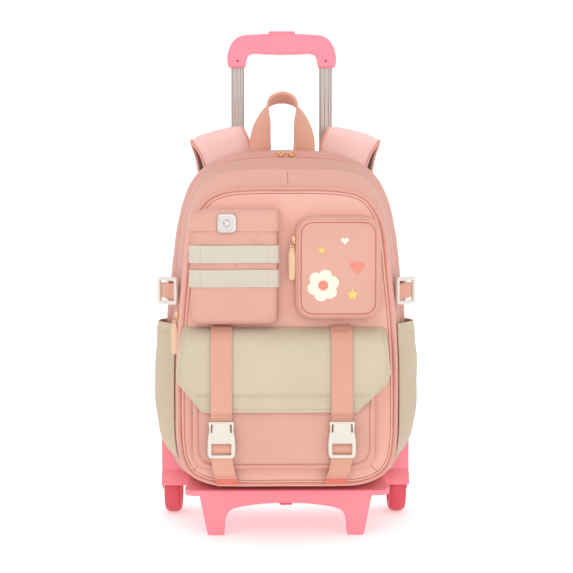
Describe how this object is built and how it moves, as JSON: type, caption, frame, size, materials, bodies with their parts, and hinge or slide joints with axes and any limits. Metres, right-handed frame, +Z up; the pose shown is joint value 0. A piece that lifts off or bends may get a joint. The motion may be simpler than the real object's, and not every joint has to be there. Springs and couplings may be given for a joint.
{
  "type": "wheeled backpack",
  "caption": "School backpack with front pockets, a buckled flap and side pockets, standing on a wheeled trolley base with a telescopic handle.",
  "frame": {"origin": "on the floor under the middle of the whole object", "axes": "+Z up, front of the bag towards -Y, +X to the right seen from the front"},
  "size_m": [0.3648, 0.2672, 0.6875],
  "materials": {
    "rose_fabric": "smooth coated rose cloth",
    "sand_fabric": "plain woven sand cloth",
    "cream_webbing": "ribbed cream webbing",
    "coral_webbing": "woven coral webbing",
    "zip_tape": "woven tape with moulded teeth",
    "gold_metal": "polished pale gold",
    "pull_leather": "smooth leather with a stitched edge",
    "silver_metal": "polished",
    "ivory_plastic": "moulded, satin",
    "pink_plastic": "moulded, satin to glossy",
    "grip_plastic": "moulded, satin to glossy",
    "wheel_rubber": "pink rubber",
    "tube_metal": "anodised, with drawn flutes",
    "axle_steel": "turned steel pin"
  },
  "bodies": {
    "chassis": {"back_panel": "rose_fabric", "main_gusset": "rose_fabric", "divider_panel": "rose_fabric", "front_gusset": "rose_fabric", "front_panel": "rose_fabric", "front_piping": "rose_fabric", "left_pocket": "rose_fabric", "left_pocket_flap": "rose_fabric", "right_pocket": "rose_fabric", "right_pocket_piping": "rose_fabric", "lower_pocket": "rose_fabric", "lower_pocket_piping": "rose_fabric", "shoulder_strap_l": "rose_fabric", "shoulder_strap_r": "rose_fabric", "flap": "sand_fabric", "side_pocket_l": "sand_fabric", "side_pocket_r": "sand_fabric", "pocket_band_upper": "cream_webbing", "pocket_band_lower": "cream_webbing", "strap_upper_l": "coral_webbing", "strap_upper_r": "coral_webbing", "strap_lower_l": "coral_webbing", "strap_lower_r": "coral_webbing", "side_strap_l": "coral_webbing", "side_strap_r": "coral_webbing", "haul_loop": "coral_webbing", "shoulder_webbing_l": "coral_webbing", "shoulder_webbing_r": "coral_webbing", "main_zipper": "zip_tape", "front_zipper": "zip_tape", "main_slider_l": "gold_metal", "main_slider_r": "gold_metal", "front_slider": "gold_metal", "right_slider": "gold_metal", "front_pull": "pull_leather", "right_pull": "pull_leather", "pocket_snap": "silver_metal", "buckle_male_l": "ivory_plastic", "buckle_male_r": "ivory_plastic", "buckle_female_l": "ivory_plastic", "buckle_female_r": "ivory_plastic", "side_buckle_l": "ivory_plastic", "side_buckle_r": "ivory_plastic", "base_tray": "pink_plastic", "rear_wall": "pink_plastic", "wheel_housing_l": "pink_plastic", "wheel_housing_r": "pink_plastic", "tube_bracket": "pink_plastic", "outer_tube_l": "tube_metal", "outer_tube_r": "tube_metal", "axle_l": "axle_steel", "axle_r": "axle_steel"},
    "handle": {"inner_tube_l": "tube_metal", "inner_tube_r": "tube_metal", "grip": "grip_plastic"},
    "button": {"grip_button": "grip_plastic"},
    "wheel_left": {"wheel_l": "wheel_rubber", "wheel_hub_l": "pink_plastic"},
    "wheel_right": {"wheel_r": "wheel_rubber", "wheel_hub_r": "pink_plastic"}
  },
  "joints": [
    {"name": "handle_slide", "type": "slide", "parent": "chassis", "child": "handle", "axis": [0, 0, 1], "range_m": [-0.14, 0.18]},
    {"name": "button_press", "type": "slide", "parent": "handle", "child": "button", "axis": [0, 0, -1], "range_m": [0, 0.0035], "stiffness_N_per_m": 600},
    {"name": "wheel_left_spin", "type": "hinge", "parent": "chassis", "child": "wheel_left", "pos_m": [-0.1605, 0.09218, 0.036], "axis": [1, 0, 0], "continuous": true},
    {"name": "wheel_right_spin", "type": "hinge", "parent": "chassis", "child": "wheel_right", "pos_m": [0.1605, 0.09218, 0.036], "axis": [1, 0, 0], "continuous": true}
  ]
}
